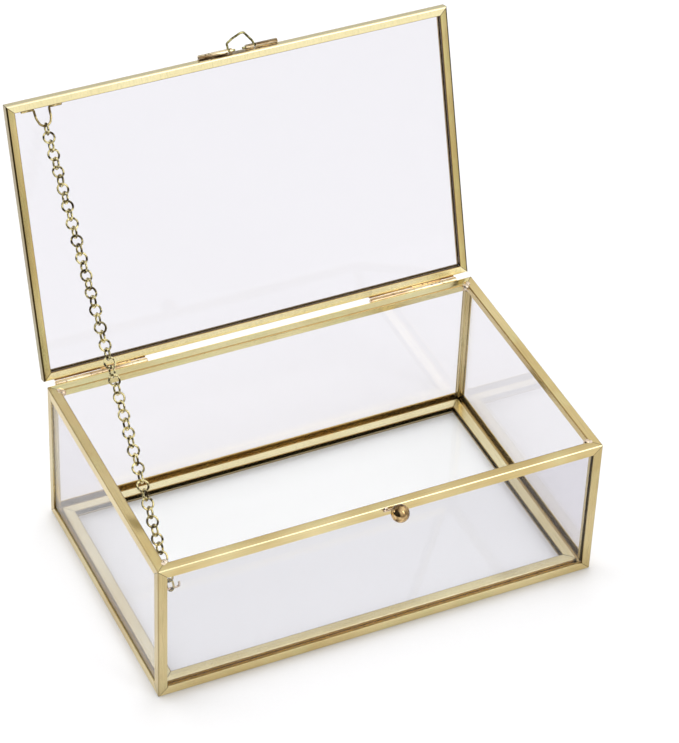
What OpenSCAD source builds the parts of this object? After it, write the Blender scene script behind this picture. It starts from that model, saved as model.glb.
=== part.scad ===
// Glass card box: a brass-framed glass case with a hinged glass lid,
// a stay chain that holds the lid open, and a wire loop that drops over a ball knob.
// Millimetres, +Z up, the front faces -Y. The origin is the middle of the front floor strip's underside.

/* [Case] */
// Width of the case over the brass
box_w = 240; // [200:1:320]
// Depth of the case over the brass
box_d = 148; // [130:1:200]
// Height of the case without its lid
box_h = 84; // [78:1:110]

/* [Glass] */
// Thickness of every glass pane
glass_t = 2; // [1.6:0.1:2.6]
// Gap between a pane and each wall of its groove
glass_fit = 0.1; // [0.05:0.01:0.2]

/* [Brass strip] */
// Thickness of the sheet that all strips are folded from
sheet_t = 0.6; // [0.5:0.05:0.7]
// Height of the outer face of the rim
face_w = 5.2; // [4.8:0.1:7]
// Width of the outer faces of the posts
post_w = 4.8; // [4.4:0.1:5.2]
// Height of the outer lip round the bottom
lip_h = 5.1; // [4:0.1:6]
// Width of the hollow fold on the inside of the rim, posts and base
fold_w = 2.6; // [2.2:0.1:3.4]
// Height of the hollow fold under the rim
fold_h = 4.2; // [3:0.1:5]
// Height of the hollow fold inside the bottom lip
base_fold_h = 2.8; // [2.2:0.1:3.4]
// Width of the strips that hold the floor pane
floor_leg = 5.6; // [4.5:0.1:8]
// Thickness of the hem above and below the floor pane
floor_hem = 1.3; // [1:0.1:1.8]
// Outside radius of every long bend
bend_r = 0.8; // [0.5:0.05:1]
// Half of the seam at a mitre
seam = 0.03; // [0.01:0.01:0.05]
// Size of the solder fillets in the corners of the rim
solder_r = 2.4; // [1.5:0.1:3]
// Radius of the solder drops on the corners of the rim
drop_r = 1.9; // [1.2:0.1:2]

/* [Lid] */
// Angle that the lid opens from closed
open_angle = 107; // [95:1:115]
// Gap between the rim and the closed lid
lid_gap = 0.3; // [0.2:0.05:0.4]
// Width of the lid's strips over the glass
lid_leg = 4.3; // [3.5:0.1:6]
// Thickness of the hem on each side of the lid's glass
hem_t = 1.6; // [1.2:0.1:2]

/* [Hinges] */
// Length of each hinge
hinge_len = 49.5; // [40:0.5:56]
// Distance of the left hinge from the left side
hinge_left_inset = 5.5; // [3:0.5:15]
// Distance of the right hinge from the right side
hinge_right_inset = 8.5; // [3:0.5:15]
// Length of the first knuckle of each hinge
first_knuckle = 24.6; // [16:0.1:26]
// Length of the lid's knuckle
lid_knuckle = 16.4; // [8:0.1:18]
// Gap between knuckles
knuckle_gap = 0.3; // [0.2:0.05:0.5]
// Outside diameter of the knuckles
knuckle_d = 3; // [2.8:0.1:3.4]
// Diameter of the hinge pins
pin_d = 1.5; // [1.2:0.1:1.7]
// Running clearance round pins, feet and the knob's stem
run_fit = 0.06; // [0.03:0.01:0.09]
// Distance of the hinge line behind the case
hinge_back = 1.7; // [1.7:0.1:2]
// Distance of the hinge line below the rim
hinge_drop = 1.2; // [1:0.1:1.4]
// Width of the hinge leaves
leaf_w = 5; // [4:0.1:5.5]
// Thickness of the hinge leaves
leaf_t = 0.5; // [0.4:0.05:0.6]

/* [Knob] */
// Diameter of the ball
ball_d = 9.3; // [8:0.1:9.6]
// Distance of the ball's centre in front of the case
ball_out = 7; // [6.8:0.1:8]
// Height of the ball's centre above the rim
ball_rise = 0.5; // [0:0.1:0.8]
// Sideways place of the ball
ball_x = 4; // [3:0.1:5]
// Diameter of the knob's wire
stem_d = 1.4; // [1:0.1:1.5]
// Depth of the wire's root below the rim
root_drop = 1.4; // [1.2:0.1:2]
// Length of the wire soldered along the rim
foot_len = 5; // [3:0.1:8]
// Diameter of the wire soldered along the rim
foot_d = 1.1; // [0.8:0.1:1.3]

/* [Clasp] */
// Length of the clasp's left tube
left_tube = 15.6; // [10:0.1:20]
// Length of the clasp's right tube
right_tube = 11.7; // [8:0.1:20]
// Left end of the loop's base
loop_left = -0.7; // [-1:0.1:0]
// Right end of the loop's base
loop_right = 13.4; // [12.5:0.1:14.5]
// Length of the left sleeve
left_sleeve = 1.2; // [1:0.1:2]
// Length of the right sleeve
right_sleeve = 4.1; // [2:0.1:4.5]
// Length of wire that shows past each sleeve
foot_tip = 1.4; // [0.5:0.1:2]
// Length of the loop from its pivot
loop_len = 8.2; // [7.5:0.1:9]
// Diameter of the loop's wire
loop_d = 1; // [0.8:0.1:1.1]
// Outside diameter of the clasp tubes
clasp_tube_d = 2.6; // [2.4:0.1:2.8]
// Thickness of the clasp's plate
plate_t = 0.4; // [0.3:0.05:0.5]
// Tilt of the loop behind the plane of the open lid
loop_tilt = 38; // [35:1:50]

/* [Stay chain] */
// Diameter of the chain's wire
link_wire = 1.1; // [0.7:0.05:1.2]
// Wanted distance from one ring to the next
link_pitch = 4.45; // [4.2:0.05:5]
// Gap between the wires of two rings
link_gap = 0.05; // [0.03:0.01:0.08]
// How far the lowest ring is twisted about the chain
low_twist = 20; // [0:5:45]
// How far the rings in the middle of the other runs are twisted about the chain
mid_twist = 12; // [0:1:15]
// Diameter of the wire of both chain hooks
hook_d = 1; // [0.8:0.1:1.1]
// Place of the lower hook inside the left side
hook_x = 9.2; // [9:0.1:11]
// Place of the lower hook inside the front
hook_y = 7; // [6.8:0.1:8]
// Depth of the lower hook below the rim
hook_drop = 19; // [15:1:24]
// Length of the lower hook past the chain
hook_reach = 4.3; // [3.5:0.1:5]
// Height of the lower hook's turned-up end
hook_tail = 2.6; // [2:0.1:4]
// Half of the width of the lid's hook where the chain hangs
bow_half = 3.5; // [3.2:0.1:4]
// Length of each foot of the lid's hook
bow_foot = 6.2; // [4:0.1:8]
// Sideways step from the lower hook to the lid's hook
chain_step = 9.4; // [6:0.1:10]
// Distance of the lid's hook from the front edge of the lid
bow_in = 13.5; // [13:0.1:15]
// Distance of the lid's hook below the lid
bow_out = 1.3; // [1.2:0.1:1.5]

/* [Hidden] */
$fn = 48;

// Colours
brass = [0.80, 0.70, 0.42];
pale_brass = [0.90, 0.82, 0.60];
bronze = [0.45, 0.34, 0.18];
copper = [0.80, 0.60, 0.45];
olive = [0.58, 0.54, 0.36];
solder_grey = [0.82, 0.76, 0.58];
clear = [0.86, 0.90, 0.93, 0.35];

// Grooves and strips
groove = glass_t + 2 * glass_fit;
rim_w = sheet_t + groove + fold_w;
fold_in = sheet_t + groove;
floor_h = 2 * floor_hem + groove;
pane_low = sheet_t + glass_fit;
pane_side = pane_low + glass_t + glass_fit + sheet_t * sqrt(0.5);
floor_side = rim_w + sheet_t + glass_fit;
lid_t = groove + 2 * hem_t;
hem_round = 0.4;
cut = 60;

// Outer faces of the front and the back, and the middle between them
front_y = -rim_w - floor_leg / 2;
back_y = front_y + box_d;
mid_y = (front_y + back_y) / 2;

// Hinge line, and the lid's lower face when closed
hinge_y = back_y + hinge_back;
hinge_z = box_h - hinge_drop;
lid_z = box_h + lid_gap;

// Clasp line when closed
clasp_y = front_y - plate_t - clasp_tube_d / 2;
clasp_z = lid_z + lid_t / 2;
foot_gap = 0.15;
slot = loop_d + 2 * foot_gap;

// Ends of the chain: the case's hook, and the lid's bow when closed and when open
hook = [-box_w / 2 + hook_x, front_y + hook_y, box_h - hook_drop];
bow_shut = [hook[0] + chain_step, front_y + bow_in, lid_z - bow_out];
bow = opened(bow_shut);
chain_len = norm(bow - hook);
link_count = 2 * round((chain_len / link_pitch - 1) / 2) + 1;
pitch = (chain_len + link_gap + hook_d) / link_count;
link_r = pitch / 2 + link_wire / 2 + link_gap / 2;
first_link = pitch / 2 - link_gap / 2 - hook_d / 2;
chain_rise = atan2(bow[2] - hook[2], bow[1] - hook[1]);
chain_lean = asin((bow[0] - hook[0]) / chain_len);
low_end = 2 * round(link_count * 0.12) + 1;
low_middle_end = low_end + 2 * round(link_count * 0.155);
high_middle_end = low_middle_end + 2 * round(link_count * 0.115);

// A point of the closed lid, turned to where the open lid carries it
function opened(p) = let (y = p[1] - hinge_y, z = p[2] - hinge_z, c = cos(open_angle), s = sin(open_angle))
    [p[0], hinge_y + y * c + z * s, hinge_z - y * s + z * c];

// Distance of a ring's centre from the case's hook
function link_at(i) = first_link + i * pitch;

// Twist of a ring: most at the hook, none at the ends of each other run
function hump(i, a, b) = mid_twist * sin(180 * (i - a) / (b - a));
function twist(i) =
    i < low_end ? low_twist * (low_end - i) / low_end :
    i < low_middle_end ? hump(i, low_end, low_middle_end) :
    i < high_middle_end ? hump(i, low_middle_end, high_middle_end) :
    hump(i, high_middle_end, link_count - 1);

// ---------- Profiles: x runs inwards from the outer face, y from the top or underside ----------

// The waste outside a round corner at the origin
module corner_waste(r) {
    difference() {
        translate([-1, -1]) square(r + 1);
        translate([r, r]) circle(r);
    }
}

// Hollow square fold
module fold(w, h) {
    difference() {
        square([w, h]);
        translate([sheet_t, sheet_t]) square([w - 2 * sheet_t, h - 2 * sheet_t]);
    }
}

module rim_profile() {
    difference() {
        union() {
            square([sheet_t, face_w]);
            square([rim_w, sheet_t]);
            translate([fold_in, 0]) fold(fold_w, fold_h);
        }
        corner_waste(bend_r);
        translate([rim_w, 0]) mirror([1, 0]) corner_waste(bend_r);
        translate([rim_w, fold_h]) mirror([1, 0]) mirror([0, 1]) corner_waste(hem_round);
    }
}

module post_profile() {
    difference() {
        union() {
            square([sheet_t, post_w]);
            square([post_w, sheet_t]);
            translate([fold_in, fold_in]) fold(fold_w, fold_w);
            rotate(45) translate([0, -sheet_t / 2]) square([(fold_in + sheet_t / 2) * sqrt(2), sheet_t]);
        }
        corner_waste(bend_r);
        translate([rim_w, rim_w]) rotate(180) corner_waste(bend_r);
    }
}

module base_profile() {
    difference() {
        union() {
            square([sheet_t, lip_h]);
            square([rim_w, sheet_t]);
            translate([fold_in, 0]) fold(fold_w, base_fold_h);
        }
        corner_waste(bend_r);
        translate([fold_in, base_fold_h]) mirror([0, 1]) corner_waste(hem_round);
        translate([rim_w, base_fold_h]) rotate(180) corner_waste(hem_round);
    }
}

module floor_profile() {
    translate([rim_w, 0]) difference() {
        square([floor_leg, floor_h]);
        translate([sheet_t, floor_hem]) square([floor_leg, groove]);
        translate([0, floor_h]) mirror([0, 1]) corner_waste(bend_r);
        translate([floor_leg, floor_h]) rotate(180) corner_waste(hem_round);
    }
}

module lid_profile() {
    difference() {
        square([lid_leg, lid_t]);
        translate([sheet_t, hem_t]) square([lid_leg, groove]);
        corner_waste(bend_r);
        translate([0, lid_t]) mirror([0, 1]) corner_waste(bend_r);
        translate([lid_leg, 0]) mirror([1, 0]) corner_waste(hem_round);
        translate([lid_leg, lid_t]) rotate(180) corner_waste(hem_round);
    }
}

// ---------- Bars: along X, centred, cut to mitres at both ends ----------

// The half-space beyond a mitre at the +X end: "flat" mitres turn in plan, the others in height
module mitre_block(len, flat) {
    translate([len / 2 - seam, 0, 0]) rotate(flat ? [0, 0, 45] : [0, -45, 0])
        translate([0, -cut / 2, -cut / 2]) cube([cut, cut, cut]);
}

// A folded bar whose section is the child, mitred against one or two neighbours at each end
module bar(len, both = true) {
    difference() {
        rotate([90, 0, 90]) translate([0, 0, -len / 2]) linear_extrude(len) children();
        for (side = [0, 1]) mirror([side, 0, 0]) {
            mitre_block(len, true);
            if (both) mitre_block(len, false);
        }
    }
}

// Puts a bar on one of the four sides
module at_side(side) {
    translate([0, mid_y, 0]) {
        if (side == "front") translate([0, -box_d / 2, 0]) children();
        if (side == "back") rotate([0, 0, 180]) translate([0, -box_d / 2, 0]) children();
        if (side == "left") rotate([0, 0, -90]) translate([0, -box_w / 2, 0]) children();
        if (side == "right") rotate([0, 0, 90]) translate([0, -box_w / 2, 0]) children();
    }
}

function side_len(side) = side == "front" || side == "back" ? box_w : box_d;

module rim_rail(side) {
    color(brass) at_side(side) translate([0, 0, box_h]) mirror([0, 0, 1]) bar(side_len(side)) rim_profile();
}

module base_rail(side) {
    color(brass) at_side(side) bar(side_len(side)) base_profile();
}

module floor_strip(side) {
    color(pale_brass) at_side(side) bar(side_len(side), false) floor_profile();
}

module corner_post(right, back) {
    color(brass) translate([0, mid_y, 0]) mirror([right, 0, 0]) mirror([0, back, 0])
        translate([-box_w / 2, -box_d / 2, box_h / 2])
            rotate([90, 0, 90]) rotate([90, 0, 90]) bar(box_h) post_profile();
}

// ---------- Glass ----------

module side_pane(side) {
    color(clear) at_side(side) translate([-side_len(side) / 2 + pane_side, pane_low, pane_low])
        cube([side_len(side) - 2 * pane_side, glass_t, box_h - 2 * pane_low]);
}

module glass_floor() {
    color(clear) translate([-box_w / 2 + floor_side, front_y + floor_side, floor_hem + glass_fit])
        cube([box_w - 2 * floor_side, box_d - 2 * floor_side, glass_t]);
}

module glass_lid() {
    color(clear) lid_place() translate([-box_w / 2 + pane_low, front_y + pane_low, lid_z + hem_t + glass_fit])
        cube([box_w - 2 * pane_low, box_d - 2 * pane_low, glass_t]);
}

// ---------- Lid ----------

// Turns what is drawn in the closed lid's place to the open lid's place
module lid_place() {
    translate([0, hinge_y, hinge_z]) rotate([-open_angle, 0, 0]) translate([0, -hinge_y, -hinge_z]) children();
}

module lid_rail(side) {
    color(pale_brass) lid_place() at_side(side) translate([0, 0, lid_z]) bar(side_len(side), false) lid_profile();
}

// ---------- Solder ----------

// How far the drop's centre lies from the rim's inner corner, and below the rim's top
drop_in = 0.7;
drop_down = 1.2;

// The solder in one inner corner of the rim, with the corner at the origin and the rim's top at zero
module corner_solder() {
    translate([0, 0, hem_round - fold_h]) linear_extrude(fold_h - hem_round - bend_r) difference() {
        square(solder_r);
        translate([solder_r, solder_r]) circle(solder_r);
    }
    difference() {
        translate([drop_in, drop_in, -drop_down]) sphere(drop_r);
        translate([-cut, -cut / 2, -cut]) cube([cut, cut, cut]);
        translate([-cut / 2, -cut, -cut]) cube([cut, cut, cut]);
    }
}

module rim_corner_solder() {
    color(solder_grey) for (right = [0, 1], back = [0, 1])
        translate([0, mid_y, 0]) mirror([right, 0, 0]) mirror([0, back, 0])
            translate([-box_w / 2 + rim_w, -box_d / 2 + rim_w, box_h]) corner_solder();
}

// ---------- Hinges ----------

// Section of the case's leaf: from the back of the rim to the knuckle. x is backwards, y up from the rim
module case_leaf_section() {
    polygon([[0, -hinge_drop], [0, -leaf_w], [leaf_t, -leaf_w], [leaf_t, -hinge_drop - knuckle_d / 2],
        [hinge_back, -hinge_drop - knuckle_d / 2], [hinge_back, -hinge_drop]]);
}

// Section of the lid's leaf: from the back edge of the closed lid to the knuckle
module lid_leaf_section() {
    polygon([[0, lid_gap], [0, leaf_w], [leaf_t, leaf_w], [leaf_t, knuckle_d / 2 - hinge_drop + leaf_t],
        [hinge_back, knuckle_d / 2 - hinge_drop], [hinge_back, -hinge_drop],
        [hinge_back - knuckle_d / 2 + leaf_t / 2, -hinge_drop], [lid_gap, lid_gap - leaf_t / 2], [lid_gap, lid_gap]]);
}

// A flat strip of leaf behind the case, from one height above the rim to another
module leaf_strip(x, low, high) {
    translate([x, back_y, box_h + low]) cube([hinge_len, leaf_t, high - low]);
}

// A knuckle with the part of its leaf that reaches it
module knuckle(x, len) {
    difference() {
        union() {
            translate([x, hinge_y, hinge_z]) rotate([0, 90, 0]) cylinder(h = len, d = knuckle_d);
            translate([x, back_y, box_h]) rotate([90, 0, 90]) linear_extrude(len) children();
        }
        translate([x - 1, hinge_y, hinge_z]) rotate([0, 90, 0]) cylinder(h = len + 2, d = pin_d + 2 * run_fit);
    }
}

last_knuckle = hinge_len - first_knuckle - lid_knuckle - 2 * knuckle_gap;
left_hinge_x = -box_w / 2 + hinge_left_inset;
right_hinge_x = box_w / 2 - hinge_right_inset;

module case_leaf(x) {
    color(copper) {
        leaf_strip(x, -leaf_w, -hinge_drop - knuckle_d / 2 - knuckle_gap);
        knuckle(x, first_knuckle) case_leaf_section();
        knuckle(x + hinge_len - last_knuckle, last_knuckle) case_leaf_section();
    }
}

module lid_leaf(x) {
    color(copper) lid_place() {
        leaf_strip(x, lid_gap, leaf_w);
        knuckle(x + first_knuckle + knuckle_gap, lid_knuckle) lid_leaf_section();
    }
}

// A pin with a flattened head at each end
head_t = 0.4;
head_d = pin_d + 0.7;
module hinge_pin(x) {
    color(copper) translate([x, hinge_y, hinge_z]) rotate([0, 90, 0]) {
        translate([0, 0, -head_t]) cylinder(h = hinge_len + 2 * head_t, d = pin_d);
        translate([0, 0, -head_t]) cylinder(h = head_t, d = head_d);
        translate([0, 0, hinge_len]) cylinder(h = head_t, d = head_d);
    }
}

// ---------- Wire work ----------

// A straight round wire from a to b
module rod(a, b, d) {
    v = b - a;
    len = norm(v);
    translate(a) rotate([0, acos(v[2] / len), atan2(v[1], v[0])]) cylinder(h = len, d = d);
}

// Points of a wire through the corners given, each corner rounded over the reach on both sides
wire_bend = 0.7;
bend_steps = 4;
function unit(v) = v / norm(v);
function bent(corners, reach) = concat(
    [corners[0]],
    [for (i = [1 : len(corners) - 2], k = [0 : bend_steps])
        let (c = corners[i], a = c + reach * unit(corners[i - 1] - c), b = c + reach * unit(corners[i + 1] - c),
            u = k / bend_steps)
        (1 - u) * (1 - u) * a + 2 * u * (1 - u) * c + u * u * b],
    [corners[len(corners) - 1]]);

// A round wire along the points. The side vector is never along the wire
wire_sides = 12;
module wire(points, d, side) {
    n = len(points);
    rings = [for (i = [0 : n - 1])
        let (t = unit(points[min(i + 1, n - 1)] - points[max(i - 1, 0)]), u = unit(cross(t, side)), v = cross(t, u))
        for (k = [0 : wire_sides - 1])
            points[i] + d / 2 * (cos(360 * k / wire_sides) * u + sin(360 * k / wire_sides) * v)];
    skin = [for (i = [0 : n - 2], k = [0 : wire_sides - 1])
        let (m = (k + 1) % wire_sides)
        [i * wire_sides + k, (i + 1) * wire_sides + k, (i + 1) * wire_sides + m, i * wire_sides + m]];
    ends = [[for (k = [0 : wire_sides - 1]) k], [for (k = [wire_sides - 1 : -1 : 0]) (n - 1) * wire_sides + k]];
    polyhedron(rings, concat(skin, ends), convexity = 6);
}

// ---------- Knob ----------

solder_film = 0.06;
root_aside = 1;
stem_root = [ball_x - root_aside, front_y - stem_d / 2 - solder_film, box_h - root_drop];
ball_centre = [ball_x, front_y - ball_out, box_h + ball_rise];
foot_end = stem_root - [foot_len, 0, 0];
blob_r = 1.7;

// A drop of solder on the front face of the rim
module front_solder(at, r) {
    intersection() {
        translate([at[0], front_y + r / 3, at[2]]) sphere(r);
        translate([at[0] - r, front_y - r, at[2] - r]) cube([2 * r, r, 2 * r]);
    }
}

module knob_stem() {
    color(solder_grey) union() {
        rod(foot_end, stem_root, foot_d);
        rod(stem_root, ball_centre, stem_d);
        translate(stem_root) sphere(d = stem_d + solder_film);
        front_solder(foot_end + [foot_len * 0.3, 0, 0], blob_r);
    }
}

module knob_ball() {
    color(bronze) difference() {
        translate(ball_centre) sphere(d = ball_d);
        rod(stem_root, ball_centre + stem_end_gap * (ball_centre - stem_root), stem_d + 2 * glue_gap);
    }
}
glue_gap = 0.02;
stem_end_gap = 0.05;

// ---------- Clasp ----------

// Moves what is drawn round the clasp's line, with x along it, to the lid's front edge
module clasp_place() {
    lid_place() translate([0, clasp_y, clasp_z]) children();
}

clasp_bore = loop_d + 2 * run_fit;
left_tube_x = loop_left - slot / 2 - left_tube;
left_sleeve_x = loop_left + slot / 2;
right_tube_x = loop_right + slot / 2;
right_sleeve_x = loop_right - slot / 2 - right_sleeve;
neck_h = 0.8;

// A length of clasp tube with the neck that joins it to the plate
module clasp_tube(x, len) {
    difference() {
        union() {
            translate([x, 0, 0]) rotate([0, 90, 0]) cylinder(h = len, d = clasp_tube_d);
            translate([x, 0, -neck_h / 2]) cube([len, clasp_tube_d / 2, neck_h]);
        }
        translate([x - 1, 0, 0]) rotate([0, 90, 0]) cylinder(h = len + 2, d = clasp_bore);
    }
}

module clasp_plate() {
    plate_h = lid_t - 2 * bend_r;
    color(brass) clasp_place() translate([left_tube_x, clasp_tube_d / 2, -plate_h / 2])
        cube([right_tube_x + right_tube - left_tube_x, plate_t, plate_h]);
}

module clasp_tube_left() {
    color(brass) clasp_place() {
        clasp_tube(left_tube_x, left_tube);
        clasp_tube(left_sleeve_x, left_sleeve);
    }
}

module clasp_tube_right() {
    color(brass) clasp_place() {
        clasp_tube(right_tube_x, right_tube);
        clasp_tube(right_sleeve_x, right_sleeve);
    }
}

// The bends of the loop: distances in from its legs, and heights as shares of its length
knee_in = 0.5;
knee_rise = 0.5;
shoulder_in = 3.9;
shoulder_rise = 0.73;
peak_in = 3.1;
peak_w = 1.7;
heel_rise = 0.3;

// The loop in its own plane: x along the pivot, the second number away from it
function loop_points() = [
    [left_sleeve_x + left_sleeve + foot_tip, 0],
    [loop_left, 0],
    [loop_left + knee_in, loop_len * knee_rise],
    [loop_left + shoulder_in, loop_len * shoulder_rise],
    [loop_right - peak_in - peak_w, loop_len],
    [loop_right - peak_in, loop_len],
    [loop_right, loop_len * heel_rise],
    [loop_right, 0],
    [right_sleeve_x - foot_tip, 0]
];

module clasp_loop() {
    color(olive) clasp_place() rotate([-loop_tilt, 0, 0])
        wire(bent([for (p = loop_points()) [p[0], -p[1], 0]], loop_d * wire_bend), loop_d, [0, 0, 1]);
}

// ---------- Chain hooks ----------

// A hook of bent wire, soldered to the front left post
module chain_hook_case() {
    post_face = front_y + rim_w;
    root_x = -box_w / 2 + fold_in + fold_w / 2;
    end_x = hook[0] + hook_reach;
    color(solder_grey) wire(bent([
        [root_x, post_face, hook[2]],
        [root_x, hook[1], hook[2]],
        [end_x, hook[1], hook[2]],
        [end_x, hook[1], hook[2] + hook_tail]
    ], hook_d), hook_d, [0, -1, 1]);
}

// How far the bow's left leg leans out, where its legs bend, and how flat its end is
bow_splay = 1;
bow_bend = 0.65;
bow_flat = 0.5;

// A wire bow, soldered to the edge of the lid's front strip and drawn for the closed lid
module chain_bow_lid() {
    edge_y = front_y + lid_leg + hook_d / 2;
    edge_z = lid_z + hem_t / 2;
    drop = bow_shut[2] - edge_z;
    run = bow_shut[1] - edge_y;
    left_half = bow_half + bow_splay;
    function bow_point(x, share) = [bow_shut[0] + x, edge_y + run * share, edge_z + drop * share * share];
    color(brass) lid_place() wire(bent([
        [bow_shut[0] - left_half - bow_foot, edge_y, edge_z],
        [bow_shut[0] - left_half, edge_y, edge_z],
        bow_point(-bow_half, bow_bend),
        bow_point(-bow_half * bow_flat, 1),
        bow_point(bow_half * bow_flat, 1),
        bow_point(bow_half, bow_bend),
        [bow_shut[0] + bow_half, edge_y, edge_z],
        [bow_shut[0] + bow_half + bow_foot, edge_y, edge_z]
    ], hook_d * wire_bend), hook_d, [0, 0, 1]);
}

// ---------- Stay chain ----------

// One ring of the chain
module link() {
    rotate_extrude() translate([link_r, 0]) circle(d = link_wire);
}

// Rings first to last-1, each a quarter turn from the one before, along the taut line
module chain_run(first, last) {
    color(brass) translate(hook) rotate([chain_rise, 0, 0]) rotate([0, 0, -chain_lean])
        for (i = [first : last - 1])
            translate([0, link_at(i), 0]) rotate([0, (i % 2 == 0 ? 90 : 0) + twist(i), 0]) link();
}

rim_rail("front");  // rim_rail_front
rim_rail("back");  // rim_rail_back
rim_rail("left");  // rim_rail_left
rim_rail("right");  // rim_rail_right
corner_post(0, 0);  // corner_post_front_left
corner_post(1, 0);  // corner_post_front_right
corner_post(0, 1);  // corner_post_back_left
corner_post(1, 1);  // corner_post_back_right
base_rail("front");  // base_rail_front
base_rail("back");  // base_rail_back
base_rail("left");  // base_rail_left
base_rail("right");  // base_rail_right
floor_strip("front");  // floor_strip_front
floor_strip("back");  // floor_strip_back
floor_strip("left");  // floor_strip_left
floor_strip("right");  // floor_strip_right
side_pane("front");  // glass_front
side_pane("back");  // glass_back
side_pane("left");  // glass_left
side_pane("right");  // glass_right
glass_floor();
rim_corner_solder();
knob_ball();
knob_stem();
chain_hook_case();
case_leaf(left_hinge_x);  // hinge_left_case_leaf
case_leaf(right_hinge_x - hinge_len);  // hinge_right_case_leaf
hinge_pin(left_hinge_x);  // hinge_left_pin
hinge_pin(right_hinge_x - hinge_len);  // hinge_right_pin
lid_rail("front");  // lid_rail_front
lid_rail("back");  // lid_rail_back
lid_rail("left");  // lid_rail_left
lid_rail("right");  // lid_rail_right
glass_lid();
lid_leaf(left_hinge_x);  // hinge_left_lid_leaf
lid_leaf(right_hinge_x - hinge_len);  // hinge_right_lid_leaf
clasp_plate();
clasp_tube_left();
clasp_tube_right();
clasp_loop();
chain_bow_lid();
chain_run(0, low_end);  // chain_run_low
chain_run(low_end, low_middle_end);  // chain_run_low_middle
chain_run(low_middle_end, high_middle_end);  // chain_run_high_middle
chain_run(high_middle_end, link_count);  // chain_run_high
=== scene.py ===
"""A brass and glass card box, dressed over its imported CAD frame. Metres, +Z up, the front faces -Y."""

import math

import bpy
from mathutils import Matrix, Vector


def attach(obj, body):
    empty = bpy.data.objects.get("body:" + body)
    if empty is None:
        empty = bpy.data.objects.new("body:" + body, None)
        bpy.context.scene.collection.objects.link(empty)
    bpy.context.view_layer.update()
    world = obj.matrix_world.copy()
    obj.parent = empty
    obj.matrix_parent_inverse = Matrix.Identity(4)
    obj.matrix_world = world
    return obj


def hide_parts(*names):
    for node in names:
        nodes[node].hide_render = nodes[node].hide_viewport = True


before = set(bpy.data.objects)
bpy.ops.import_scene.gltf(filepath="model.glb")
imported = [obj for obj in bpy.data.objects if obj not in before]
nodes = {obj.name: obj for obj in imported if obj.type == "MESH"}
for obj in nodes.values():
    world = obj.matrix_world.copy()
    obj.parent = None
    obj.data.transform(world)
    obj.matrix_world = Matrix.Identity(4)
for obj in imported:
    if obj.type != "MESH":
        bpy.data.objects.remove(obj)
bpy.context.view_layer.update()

MM = 0.001

# The box, in millimetres
WIDTH, DEPTH, HEIGHT = 240.0, 148.0, 84.0
FRONT_Y = -8.2
MIDDLE_Y = FRONT_Y + DEPTH / 2
HINGE_BACK, HINGE_DOWN = 1.7, 1.2
HINGE_Y, HINGE_Z = FRONT_Y + DEPTH + HINGE_BACK, HEIGHT - HINGE_DOWN
OPEN_ANGLE = 107.0


# ---------- Camera ----------

PICTURE = (679, 743)
FOCAL_PX = 3181.06
AZIMUTH, ELEVATION, ROLL = (math.radians(v) for v in (-26.3625, 39.7442, 2.5319))
CAMERA_AT = Vector((-0.532995, -1.025505, 1.123252))


def make_camera():
    right = Vector((math.cos(AZIMUTH), math.sin(AZIMUTH), 0))
    level = Vector((math.sin(AZIMUTH), -math.cos(AZIMUTH), 0))
    back = level * math.cos(ELEVATION) + Vector((0, 0, math.sin(ELEVATION)))
    up = back.cross(right)
    turned_right = right * math.cos(ROLL) + up * math.sin(ROLL)
    turned_up = up * math.cos(ROLL) - right * math.sin(ROLL)
    data = bpy.data.cameras.new("camera")
    data.sensor_width = 36
    data.lens = FOCAL_PX / max(PICTURE) * data.sensor_width
    data.clip_start, data.clip_end = 0.05, 50
    camera = bpy.data.objects.new("camera", data)
    turn = Matrix((turned_right, turned_up, back)).transposed().to_4x4()
    camera.matrix_world = Matrix.Translation(CAMERA_AT) @ turn
    bpy.context.scene.collection.objects.link(camera)
    bpy.context.scene.camera = camera


make_camera()


# ---------- Material helpers ----------


def linear(rgb):
    """A colour written as it should look, turned to scene light."""
    return tuple(c / 12.92 if c <= 0.04045 else ((c + 0.055) / 1.055) ** 2.4 for c in rgb) + (1.0,)


def darker(rgb, share):
    return tuple(share * c for c in rgb)


def opposite(direction):
    return tuple(-v for v in direction)


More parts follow.
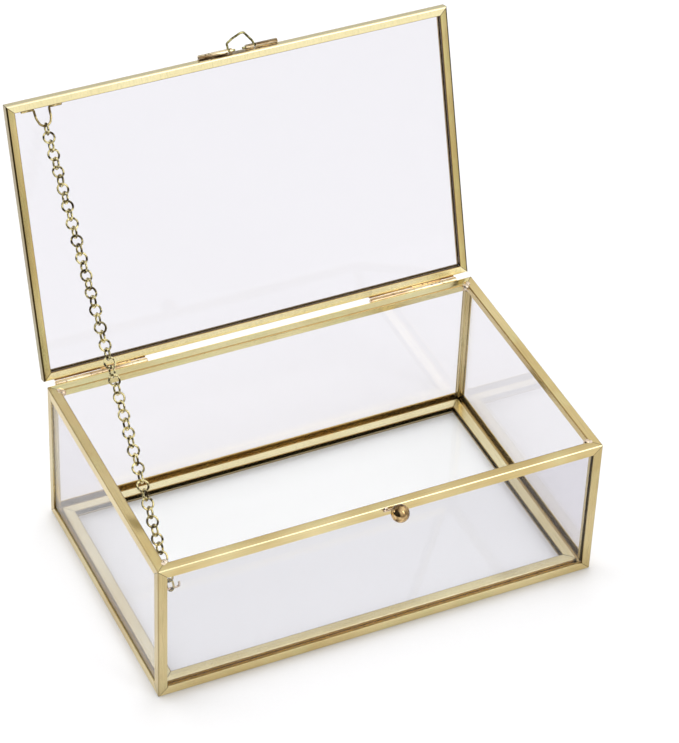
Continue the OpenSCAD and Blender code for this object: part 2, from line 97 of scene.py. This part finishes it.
class Nodes:
    """The node tree of a material or of the world, with short calls for what is used here."""

    def __init__(self, owner):
        self.owner = owner
        owner.use_nodes = True
        self.tree = owner.node_tree
        self.tree.nodes.clear()

    def add(self, kind, **settings):
        node = self.tree.nodes.new("ShaderNode" + kind)
        for key, value in settings.items():
            setattr(node, key, value)
        return node

    def link(self, a, b):
        self.tree.links.new(a, b)

    def put(self, socket, value):
        if isinstance(value, bpy.types.NodeSocket):
            self.link(value, socket)
        else:
            socket.default_value = value

    def fill(self, node, **values):
        """The node with its inputs set by name, a low line standing for a space."""
        for key, value in values.items():
            self.put(node.inputs[key.replace("_", " ")], value)
        return node

    def mapped(self, at, **values):
        return self.fill(self.add("Mapping"), Vector=at, **values).outputs["Vector"]

    def position(self, scale=(1, 1, 1)):
        """Places on the piece in millimetres, stretched by scale."""
        where = self.add("TexCoord").outputs["Object"]
        return self.mapped(where, Scale=tuple(s / MM for s in scale))

    def along(self, vector, direction):
        """How far a vector points along a direction, from -1 to 1."""
        dot = self.add("VectorMath", operation="DOT_PRODUCT")
        self.put(dot.inputs[0], vector)
        self.put(dot.inputs[1], direction)
        return dot.outputs["Value"]

    def facing(self, direction):
        """How far the surface faces a direction fixed to the piece, from -1 to 1."""
        return self.along(self.add("TexCoord").outputs["Normal"], direction)

    def noise(self, at, scale, detail=2.0, roughness=0.5, distortion=0.0):
        return self.fill(self.add("TexNoise"), Vector=at, Scale=scale, Detail=detail, Roughness=roughness,
                         Distortion=distortion).outputs["Fac"]

    def remap(self, value, low, high, to_low, to_high, **settings):
        return self.fill(self.add("MapRange", **settings), Value=value, From_Min=low, From_Max=high,
                         To_Min=to_low, To_Max=to_high).outputs["Result"]

    def mix(self, fac, a, b):
        """From colour a to colour b."""
        node = self.add("Mix", data_type="RGBA")
        self.put(node.inputs[0], fac)
        self.put(node.inputs[6], a)
        self.put(node.inputs[7], b)
        return node.outputs[2]

    def math(self, operation, a, b=0.0):
        node = self.add("Math", operation=operation)
        self.put(node.inputs[0], a)
        self.put(node.inputs[1], b)
        return node.outputs[0]

    def product(self, a, b):
        return self.math("MULTIPLY", a, b)

    def bump(self, height, strength, distance):
        return self.fill(self.add("Bump"), Height=height, Strength=strength, Distance=distance).outputs["Normal"]

    def principled(self, **values):
        return self.fill(self.add("BsdfPrincipled"), **values)

    def rays(self, *kinds):
        """1 for rays of the kinds named, 0 for all others."""
        path = self.add("LightPath").outputs
        found = path[f"Is {kinds[0]} Ray"]
        for kind in kinds[1:]:
            found = self.math("MAXIMUM", found, path[f"Is {kind} Ray"])
        return found

    def either(self, fac, a, b):
        """Shader a where fac is 0, and shader b where it is 1."""
        node = self.add("MixShader")
        self.put(node.inputs[0], fac)
        self.link(a.outputs[0], node.inputs[1])
        self.link(b.outputs[0], node.inputs[2])
        return node

    def finish(self, shader):
        output = "OutputWorld" if isinstance(self.owner, bpy.types.World) else "OutputMaterial"
        self.link(shader.outputs[0], self.add(output).inputs["Surface"])
        return self.owner

    def insets(self, lid):
        """Distances inward from the box's left or right side, front or back, and top or bottom, and the height,
        in millimetres. On the lid they are those of the closed lid."""
        at = self.mapped(self.add("TexCoord").outputs["Object"], Location=(0, -HINGE_Y, -HINGE_Z),
                         Scale=(1 / MM, 1 / MM, 1 / MM))
        if lid:
            at = self.mapped(at, Rotation=(math.radians(OPEN_ANGLE), 0, 0))
        x, y, z = self.fill(self.add("SeparateXYZ"), Vector=at).outputs
        from_middle = self.math("ADD", y, HINGE_Y - MIDDLE_Y)
        from_half = self.math("ADD", z, HINGE_Z - HEIGHT / 2)
        side = self.math("SUBTRACT", WIDTH / 2, self.math("ABSOLUTE", x))
        end = self.math("SUBTRACT", DEPTH / 2, self.math("ABSOLUTE", from_middle))
        rise = self.math("SUBTRACT", HEIGHT / 2, self.math("ABSOLUTE", from_half))
        return side, end, rise, self.math("ADD", z, HINGE_Z)

    def near(self, a, b, reach):
        """1 where two values are equal, 0 where they are further apart than reach."""
        apart = self.math("ABSOLUTE", self.math("SUBTRACT", a, b))
        return self.remap(apart, reach * 0.4, reach, 1.0, 0.0)


def new_material(name):
    return Nodes(bpy.data.materials.new(name))


# Colour of the strips' mitre seams; painted shade on the hems' inner edges where they meet the glass; painted
# shade and dark reflection along the folds; painted shade in the base strips' slot
SEAM_COLOUR = (0.24, 0.17, 0.07)
HEM_EDGE_SHADE = (0.17, 0.12, 0.05)
LID_HEM_SHADE = (0.33, 0.25, 0.15)
FOLD_SHADE = (0.62, 0.51, 0.31)
DEEP_SLOT_SHADE = (0.42, 0.31, 0.13)

# Lines of the strips, in millimetres inward from the box's side
OUTER_EDGE = {"rim": 0.4, "lid": 0.4, "floor": 5.6}
INNER_EDGE = {"rim": 5.1, "lid": 4.2, "floor": 10.8}
EDGE_W, SEAM_W = 0.35, 0.30
BEND_RANGE = (0.35, 0.75)
LID_BEND_AT, LID_BEND_W = 0.45, 0.6
BASE_LIP, BASE_FOLD = (0.8, 1.0), (3.7, 3.9)

# Heights where the strips' hems begin or end, and how squarely a surface faces a way to count
FLOOR_SIDE_Z, FLOOR_HEM_Z, LID_HEM_Z = (2.9, 3.4), (3.0, 3.3), (86.2, 86.5)
FACES_OUT, FACES_UP, FACES_IN = (0.3, 0.8), (0.5, 0.9), (0.80, 0.92)

# How a strip's drawn lines are stretched along it
LINES = {"x": (0.02, 1, 1), "y": (1, 0.02, 1), "z": (1, 1, 0.02), "lid": (1, 0.05, 0.05)}


def strip_brass(name, tones, rough, axis, part, bend_reflection=None, inward=None, shades=(0, 0), slot_shade_pair=None):
    """Folded and drawn brass strip along one axis, or for the lid along any side: fine lines along it, slow warm
    and cool tones, dark mitre seams, a painted highlight or painted dark reflection along the outer bend as the
    strip is given, painted shade across the face and along the inner fold, and painted shade in the base strips'
    slot, low on the floor strips' outer sides and on the hems' inner edges."""
    light, dark, cool = tones
    n = new_material(name)
    slow = n.noise(n.position(), 0.020, 2.0, 0.5)
    patch = n.noise(n.position(), 0.055, 2.0, 0.5, 0.3)
    lines = n.noise(n.position(LINES[axis]), 2.6, 3.0, 0.6)
    wear = n.noise(n.position(LINES[axis]), 1.1, 3.0, 0.6)
    colour = n.mix(n.remap(slow, 0.35, 0.65, 0, 1), linear(dark), linear(light))
    colour = n.mix(n.remap(patch, 0.5, 0.72, 0, 0.6), colour, linear(cool))
    colour = n.mix(n.remap(lines, 0.30, 0.48, 0.28, 0), colour, linear(darker(dark, 0.72)))

    side, end, rise, height = n.insets(part == "lid")
    if part == "lid":
        own, across, up = side, n.math("MINIMUM", side, end), None
        seam = n.near(side, end, SEAM_W)
    else:
        own, across, up = {"x": (side, end, rise), "y": (end, side, rise), "z": (rise, side, end)}[axis]
        seam = n.math("MAXIMUM", n.near(own, across, SEAM_W), n.near(own, up, SEAM_W))
    if part in INNER_EDGE:
        # painted shade: the face darkens across, between its outer and inner edge, by the shares in shades
        shade = n.remap(across, OUTER_EDGE[part], INNER_EDGE[part], *shades)
        colour = n.mix(shade, colour, linear(darker(dark, 0.6)))
        # painted shade and dark reflection: a line along the inner fold
        colour = n.mix(n.near(across, INNER_EDGE[part], EDGE_W), colour, linear(FOLD_SHADE))
    # painted highlight along the outer bend on some strips, painted dark reflection on others
    if bend_reflection:
        if up:
            bend = n.remap(n.math("MAXIMUM", across, up), *BEND_RANGE, 0.75, 0.0)
        else:
            bend = n.near(across, LID_BEND_AT, LID_BEND_W)
        colour = n.mix(bend, colour, linear(bend_reflection))
    if part == "base":
        # painted shade in the slot behind the lip, and on the top of the fold inside it
        slot_shade, fold_top_shade = slot_shade_pair
        colour = n.mix(n.remap(across, *BASE_LIP, 0, 1), colour, linear(slot_shade))
        on_top = n.product(n.remap(across, *BASE_FOLD, 0, 1), n.remap(n.facing((0, 0, 1)), *FACES_UP, 0, 1))
        colour = n.mix(on_top, colour, linear(fold_top_shade))
    if part == "floor":
        # painted shade: the floor strip's outward sides darker low down, in the slot
        outside = n.remap(n.facing(opposite(inward)), *FACES_OUT, 0, 1)
        colour = n.mix(n.product(n.remap(height, *FLOOR_SIDE_Z, 1.0, 0.3), outside), colour, linear(FOLD_SHADE))
    # painted shade on the hems' inner edges, where they meet the glass
    if inward:
        hem = n.remap(height, *LID_HEM_Z, 1, 0) if part == "lid" else n.remap(height, *FLOOR_HEM_Z, 0, 1)
        hem_shade = LID_HEM_SHADE if part == "lid" else HEM_EDGE_SHADE
        inside = n.remap(n.facing(inward), *FACES_IN, 0, 1)
        colour = n.mix(n.product(inside, hem), colour, linear(hem_shade))
    colour = n.mix(n.product(seam, 0.75), colour, linear(SEAM_COLOUR))
    return n.finish(n.principled(Base_Color=colour, Metallic=1.0,
                                 Roughness=n.remap(wear, 0.3, 0.7, rough * 0.8, rough * 1.2),
                                 Normal=n.bump(lines, 0.12, 0.02 * MM)))


def plain_brass(name, light, dark, rough, spots=None, scale=0.25, stretch=(1, 1, 1), sharp=0.13):
    """Wire, tube, ball and solder: tone changes over the piece, and darker spots where flux or oxide is left. On
    the ball and the chain, the sharp light and dark patches are painted reflections.
    """
    n = new_material(name)
    tone = n.noise(n.position(stretch), scale, 3.0, 0.55)
    colour = n.mix(n.remap(tone, 0.49 - sharp, 0.49 + sharp, 0, 1), linear(dark), linear(light))
    if spots:
        amount = n.remap(n.noise(n.position(), 0.62, 2.0, 0.6), 0.60, 0.68, 0, 0.85)
        colour = n.mix(amount, colour, linear(spots))
    wear = n.noise(n.position(), 0.5, 3.0)
    return n.finish(n.principled(Base_Color=colour, Metallic=1.0,
                                 Roughness=n.remap(wear, 0.3, 0.7, rough * 0.75, rough * 1.25),
                                 Normal=n.bump(tone, 0.15, 0.03 * MM)))


GLASS_ROUGH = (0.002, 0.016)
GLASS_IOR = 1.32
GLASS_SHADOW = (0.985, 0.985, 0.988, 1.0)


def clear_glass(name, tint):
    """Clear glass with faint smudges and waves, which lets lamps and soft light through."""
    n = new_material(name)
    smudge = n.noise(n.position(), 0.03, 4.0, 0.6, 0.6)
    wave = n.noise(n.position(), 0.02, 1.0, 0.4)
    glass = n.principled(Base_Color=linear(tint), Roughness=n.remap(smudge, 0.5, 0.8, *GLASS_ROUGH),
                         IOR=GLASS_IOR, Transmission_Weight=1.0, Normal=n.bump(wave, 0.08, 0.04 * MM))
    through = n.fill(n.add("BsdfTransparent"), Color=GLASS_SHADOW)
    return n.finish(n.either(n.rays("Shadow", "Diffuse"), glass, through))


# ---------- Materials ----------

# Light, dark and cool tone of each kind of strip. The back rim and the lid's front and back rails get lighter
# copies, and the lid's sides a darker copy: painted light and shade
CASE_TONES = ((0.89, 0.82, 0.62), (0.81, 0.72, 0.50), (0.85, 0.81, 0.60))
BACK_LIT_TONES = ((0.94, 0.90, 0.70), (0.88, 0.82, 0.60), (0.89, 0.89, 0.68))
BASE_TONES = ((0.92, 0.85, 0.65), (0.85, 0.76, 0.54), (0.88, 0.84, 0.63))
POST_TONES = ((0.83, 0.76, 0.58), (0.75, 0.67, 0.47), (0.80, 0.75, 0.56))
PALE_TONES = ((0.97, 0.93, 0.76), (0.92, 0.86, 0.66), (0.95, 0.91, 0.73))
LID_LIT_TONES = ((1.0, 0.95, 0.76), (0.95, 0.89, 0.67), (0.98, 0.94, 0.74))
LID_SIDE_SHADED_TONES = ((0.88, 0.80, 0.57), (0.78, 0.69, 0.45), (0.82, 0.79, 0.54))

# Painted highlight and painted dark reflections along the outer bends, and the two colours of painted shade in
# the base strips' slot, darker on the front and left, lighter on the back and right
BEND_HIGHLIGHT = (0.98, 0.93, 0.76)
BEND_DARK_REFLECTION = (0.60, 0.53, 0.38)
LID_BEND_DARK_REFLECTION = (0.20, 0.15, 0.07)
SHADED_SIDE_SLOT = (DEEP_SLOT_SHADE, FOLD_SHADE)
LIT_SIDE_SLOT = (FOLD_SHADE, (0.78, 0.68, 0.46))

ALONG = {"front": "x", "back": "x", "left": "y", "right": "y"}
BEND = {"x": BEND_HIGHLIGHT, "y": BEND_DARK_REFLECTION}
TILT = math.radians(OPEN_ANGLE - 90)
LID_UP = (0, math.sin(TILT), math.cos(TILT))
CASE_IN = {"front": (0, 1, 0), "back": (0, -1, 0), "left": (1, 0, 0), "right": (-1, 0, 0)}
LID_IN = {**CASE_IN, "front": opposite(LID_UP), "back": LID_UP}


def dress(node, material):
    piece = nodes[node]
    piece.data.materials.clear()
    piece.data.materials.append(material)


pane = clear_glass("clear_glass", (0.915, 0.911, 0.926))
floor_pane = clear_glass("floor_glass", (0.990, 0.995, 0.993))
for side, axis in ALONG.items():
    dress(f"rim_rail_{side}", strip_brass(
        f"rim_brass_{side}", BACK_LIT_TONES if side == "back" else CASE_TONES, 0.20, axis, "rim",
        bend_reflection=BEND[axis], shades=(0, 0.2) if side == "front" else (0, 0)))
    dress(f"base_rail_{side}", strip_brass(
        f"base_brass_{side}", BASE_TONES, 0.22, axis, "base",
        bend_reflection=BEND[axis], slot_shade_pair=SHADED_SIDE_SLOT if side in ("front", "left") else LIT_SIDE_SLOT))
    dress(f"floor_strip_{side}", strip_brass(
        f"floor_brass_{side}", PALE_TONES, 0.22, axis, "floor", inward=CASE_IN[side], shades=(0, 0.1)))
    dress(f"lid_rail_{side}", strip_brass(
        f"lid_brass_{side}", LID_LIT_TONES if axis == "x" else LID_SIDE_SHADED_TONES, 0.22, "lid", "lid",
        bend_reflection=BEND_HIGHLIGHT if axis == "x" else LID_BEND_DARK_REFLECTION, inward=LID_IN[side],
        shades=(0, 0) if axis == "x" else (0.35, 0)))
    dress(f"glass_{side}", pane)
dress("glass_floor", floor_pane)
dress("glass_lid", pane)
post_brass = strip_brass("post_brass", POST_TONES, 0.26, "z", "post", bend_reflection=BEND_DARK_REFLECTION)
for corner in ("front_left", "front_right", "back_left", "back_right"):
    dress(f"corner_post_{corner}", post_brass)

solder = plain_brass("solder", (0.96, 0.90, 0.82), (0.84, 0.74, 0.62), 0.12, spots=(0.32, 0.24, 0.16), scale=0.5)
# painted reflections: the ball's and the chain's sharp light and dark patches stand for reflections
bronze = plain_brass("bronze", (0.88, 0.75, 0.54), (0.33, 0.23, 0.12), 0.05, scale=0.21, sharp=0.10)
chain_brass = plain_brass("chain_brass", (0.92, 0.87, 0.66), (0.24, 0.19, 0.11), 0.08, scale=0.42, sharp=0.08)
wire_brass = plain_brass("wire_brass", (0.84, 0.77, 0.56), (0.46, 0.39, 0.24), 0.12, sharp=0.08)
olive_wire = plain_brass("olive_wire", (0.74, 0.71, 0.50), (0.36, 0.33, 0.19), 0.12, scale=0.4, sharp=0.09)
copper_brass = plain_brass("copper_brass", (0.94, 0.87, 0.74), (0.72, 0.61, 0.47), 0.18,
                           spots=(0.35, 0.25, 0.16), scale=0.3, stretch=(0.15, 1, 1))
tube_brass = plain_brass("tube_brass", (0.93, 0.86, 0.71), (0.40, 0.31, 0.20), 0.08,
                         spots=(0.28, 0.20, 0.11), scale=0.3, stretch=(0.2, 1, 1))
dress("rim_corner_solder", solder)
dress("knob_stem", solder)
dress("knob_ball", bronze)
dress("clasp_plate", tube_brass)
for side in ("left", "right"):
    dress(f"clasp_tube_{side}", tube_brass)
    for part in ("case_leaf", "lid_leaf", "pin"):
        dress(f"hinge_{side}_{part}", copper_brass)
for run in ("low", "low_middle", "high_middle", "high"):
    dress(f"chain_run_{run}", chain_brass)


# ---------- Round wires and solder drops ----------


def add_piece(name, points, faces, material, body):
    """A smooth piece from points in millimetres, which rides a body."""
    mesh = bpy.data.meshes.new(name)
    mesh.from_pydata([tuple(c * MM for c in p) for p in points], [], faces)
    mesh.materials.append(material)
    mesh.validate()
    for face in mesh.polygons:
        face.use_smooth = True
    piece = bpy.data.objects.new(name, mesh)
    bpy.context.scene.collection.objects.link(piece)
    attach(piece, body)
    return piece


def rounded(corners, reach, steps=8):
    """The corners joined by straight runs, each inner corner rounded over the reach on both sides."""
    corners = [Vector(c) for c in corners]
    path = [corners[0]]
    for before, corner, after in zip(corners, corners[1:], corners[2:]):
        a = corner + reach * (before - corner).normalized()
        b = corner + reach * (after - corner).normalized()
        for k in range(steps + 1):
            u = k / steps
            path.append((1 - u) ** 2 * a + 2 * u * (1 - u) * corner + u * u * b)
    return path + [corners[-1]]


def turned(points, angle, y, z):
    """Points turned about the X direction through y, z."""
    turn = Matrix.Rotation(math.radians(angle), 3, "X")
    pivot = Vector((0, y, z))
    return [turn @ (Vector(p) - pivot) + pivot for p in points]


WIRE = 1.2
DOME = [(math.cos(share * math.pi), math.sin(share * math.pi)) for share in (0.1, 0.2, 0.32, 0.45)]


def wire(name, path, material, body, sides=20):
    """A round wire along the path, with domed ends."""
    radius = WIRE / 2
    last = len(path) - 1
    directions = [(path[min(i + 1, last)] - path[max(i - 1, 0)]).normalized() for i in range(len(path))]
    first_way, last_way = directions[0], directions[-1]
    rings = [(path[0] - first_way * radius * depth, first_way, width) for width, depth in reversed(DOME)]
    rings += [(p, d, 1.0) for p, d in zip(path, directions)]
    rings += [(path[-1] + last_way * radius * depth, last_way, width) for width, depth in DOME]
    across = first_way.orthogonal().normalized()
    points = []
    for place, direction, width in rings:
        across = (across - direction * across.dot(direction)).normalized()
        second = direction.cross(across)
        for k in range(sides):
            turn = 2 * math.pi * k / sides
            points.append(place + radius * width * (math.cos(turn) * across + math.sin(turn) * second))
    faces = []
    for i in range(len(rings) - 1):
        a, b = i * sides, (i + 1) * sides
        for k in range(sides):
            m = (k + 1) % sides
            faces.append((a + k, a + m, b + m, b + k))
    faces.append(tuple(reversed(range(sides))))
    faces.append(tuple((len(rings) - 1) * sides + k for k in range(sides)))
    return add_piece(name, points, faces, material, body)


# The hook on the front left post, from its foot to its turned-up end
HOOK_CORNERS = ((-115.9, -2.8, 65), (-115.9, -1.2, 65), (-106.5, -1.2, 65), (-106.5, -1.2, 67.6))
HOOK_BEND = 1.0

# The bow on the closed lid: distances along the lid's strip, and shares of how far it stands out
BOW_AT = (-101.4, -3.4, 85.1)
BOW_REACH, BOW_DROP, BOW_BEND = 8.7, 2.1, 0.9
BOW_SHAPE = ((-10.7, 0), (-4.6, 0), (-4.3, 0.25), (-3.95, 0.55), (-2.8, 0.87), (-1.0, 1), (1.0, 1), (2.8, 0.87),
             (3.7, 0.55), (3.6, 0.25), (3.5, 0), (9.7, 0))

# The loop: places along its pivot and distances from it, and how far it hangs back from the closed lid
CLASP_Y, CLASP_Z = -9.9, 87.0
LOOP_TILT, LOOP_BEND = 38, 0.7
LOOP_SHAPE = ((2.55, 0), (-0.7, 0), (-0.2, 4.1), (3.2, 5.986), (8.6, 8.05), (10.3, 8.05), (13.4, 2.46), (13.4, 0),
              (7.25, 0))

hook = wire("case_hook_wire", rounded(HOOK_CORNERS, HOOK_BEND), solder, "case")
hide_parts("chain_hook_case")

bow_x, bow_y, bow_z = BOW_AT
bow_path = rounded([(bow_x + x, bow_y + BOW_REACH * share, bow_z - BOW_DROP * share * share)
                    for x, share in BOW_SHAPE], BOW_BEND)
bow = wire("lid_bow_wire", turned(bow_path, -OPEN_ANGLE, HINGE_Y, HINGE_Z), wire_brass, "lid")
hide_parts("chain_bow_lid")

loop_path = rounded([(x, CLASP_Y - out, CLASP_Z) for x, out in LOOP_SHAPE], LOOP_BEND)
loop_path = turned(turned(loop_path, -LOOP_TILT, CLASP_Y, CLASP_Z), -OPEN_ANGLE, HINGE_Y, HINGE_Z)
loop = wire("clasp_loop_wire", loop_path, olive_wire, "loop")
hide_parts("clasp_loop")

DROP_IN, DROP_Z = 5.1, 83.5
DROP_HALF_HEIGHT = 0.72
DROP_CROWN = 0.9


def drop(name, centre, radius, seed, rows=18, columns=28):
    """A flattened drop of solder with a few soft swells, which stay below its crown."""
    x, y, z = centre
    points = [(x, y, z + DROP_HALF_HEIGHT)]
    for i in range(1, rows):
        lean = math.pi * i / rows
        for k in range(columns):
            turn = 2 * math.pi * k / columns
            swell = 1 + 0.07 * math.sin(2 * turn + seed) * math.sin(lean)
            swell += 0.05 * math.sin(3 * turn + 2 * lean + 2 * seed)
            if lean < DROP_CROWN:
                swell = min(swell, 1.0)
            out = radius * swell * math.sin(lean)
            points.append((x + out * math.cos(turn), y + out * math.sin(turn),
                           z + DROP_HALF_HEIGHT * math.cos(lean)))
    bottom = len(points)
    points.append((x, y, z - DROP_HALF_HEIGHT))
    faces = []
    for k in range(columns):
        m = (k + 1) % columns
        faces.append((0, 1 + k, 1 + m))
        for i in range(rows - 2):
            a, b = 1 + i * columns, 1 + (i + 1) * columns
            faces.append((a + k, b + k, b + m, a + m))
        last = bottom - columns
        faces.append((last + k, bottom, last + m))
    add_piece(name, points, faces, solder, "case")


# Each drop's side to the right and to the back, its corner and its radius
DROPS = ((-1, -1, "front_left", 1.9), (1, -1, "front_right", 1.9),
         (-1, 1, "back_left", 2.7), (1, 1, "back_right", 2.7))
for seed, (x, y, corner, radius) in enumerate(DROPS):
    centre = (x * (WIDTH / 2 - DROP_IN), MIDDLE_Y + y * (DEPTH / 2 - DROP_IN), DROP_Z)
    drop(f"solder_drop_{corner}", centre, radius, seed * 1.7)


# ---------- Floor, world and lamps ----------

FLOOR_HALF, FLOOR_BELOW = 0.8, 0.0002
FLOOR_LIFT = 0.09
WHITE = (1, 1, 1, 1)


def make_floor():
    """A pale floor that keeps the shadow, and looks a little lighter to the camera."""
    n = new_material("floor_white")
    grain = n.noise(n.position(), 0.6, 3.0)
    colour = n.mix(n.remap(grain, 0.3, 0.7, 0, 1), linear((0.950, 0.948, 0.952)), linear((0.955, 0.953, 0.957)))
    shader = n.principled(Base_Color=colour, Roughness=0.6, Specular_IOR_Level=0.1)
    lift = n.fill(n.add("Emission"), Color=WHITE,
                  Strength=n.product(n.rays("Camera", "Glossy", "Transmission"), FLOOR_LIFT))
    both = n.add("AddShader")
    n.link(shader.outputs[0], both.inputs[0])
    n.link(lift.outputs[0], both.inputs[1])
    mesh = bpy.data.meshes.new("floor")
    s = FLOOR_HALF
    mesh.from_pydata([(-s, -s, 0), (s, -s, 0), (s, s, 0), (-s, s, 0)], [], [(0, 1, 2, 3)])
    mesh.materials.append(n.finish(both))
    floor = bpy.data.objects.new("floor", mesh)
    floor.location = (0, MIDDLE_Y * MM, -FLOOR_BELOW)
    bpy.context.scene.collection.objects.link(floor)


# What metal and glass reflect: a direction in the room, the cosines where it fades, and the strengths there
DARK_SIDE = ((-0.93, -0.25, 0.15), 0.48, 0.78, 0.97, 0.05)
DIM_BACK = ((0.30, 0.93, 0.10), 0.88, 0.98, 1.0, 0.55)
DARK_LOW = ((-0.75, 0.45, -0.45), 0.60, 0.85, 1.0, 0.12)
# What lights the object, stronger from behind
SOFT_SKY = ((0.1, 1.0, 0.35), -0.4, 1.0, 0.25, 1.98)


def make_world():
    """White behind the object, soft light that is stronger from behind, and a room with dark sides for metal
    to show."""
    n = Nodes(bpy.data.worlds.new("studio"))
    where = n.add("TexCoord").outputs["Generated"]

    def toward(direction, *fade):
        """A strength that fades as rays come nearer to a direction of the room."""
        return n.remap(n.along(where, Vector(direction).normalized()), *fade, interpolation_type="SMOOTHSTEP")

    def background(strength):
        return n.fill(n.add("Background"), Color=WHITE, Strength=strength)

    room = background(n.product(n.product(toward(*DARK_SIDE), toward(*DIM_BACK)), toward(*DARK_LOW)))
    soft = background(toward(*SOFT_SKY))
    lit = n.either(n.rays("Glossy"), soft, room)
    bpy.context.scene.world = n.finish(n.either(n.rays("Camera", "Transmission"), lit, background(1.0)))


LAMP_AIM = Vector((0, MIDDLE_Y * MM, 0.08))


def make_lamp(name, at, size, power):
    data = bpy.data.lights.new(name, "AREA")
    data.shape = "RECTANGLE"
    data.size, data.size_y = size
    data.energy = power
    lamp = bpy.data.objects.new(name, data)
    lamp.location = at
    lamp.rotation_euler = (LAMP_AIM - Vector(at)).to_track_quat("-Z", "Y").to_euler()
    bpy.context.scene.collection.objects.link(lamp)


make_floor()
make_world()
make_lamp("front", (0.75, -1.25, 1.25), (0.55, 1.3), 4.4)
make_lamp("left", (-1.15, 0.80, 0.47), (0.45, 0.45), 1.4)

bpy.context.scene.view_settings.view_transform = "Standard"
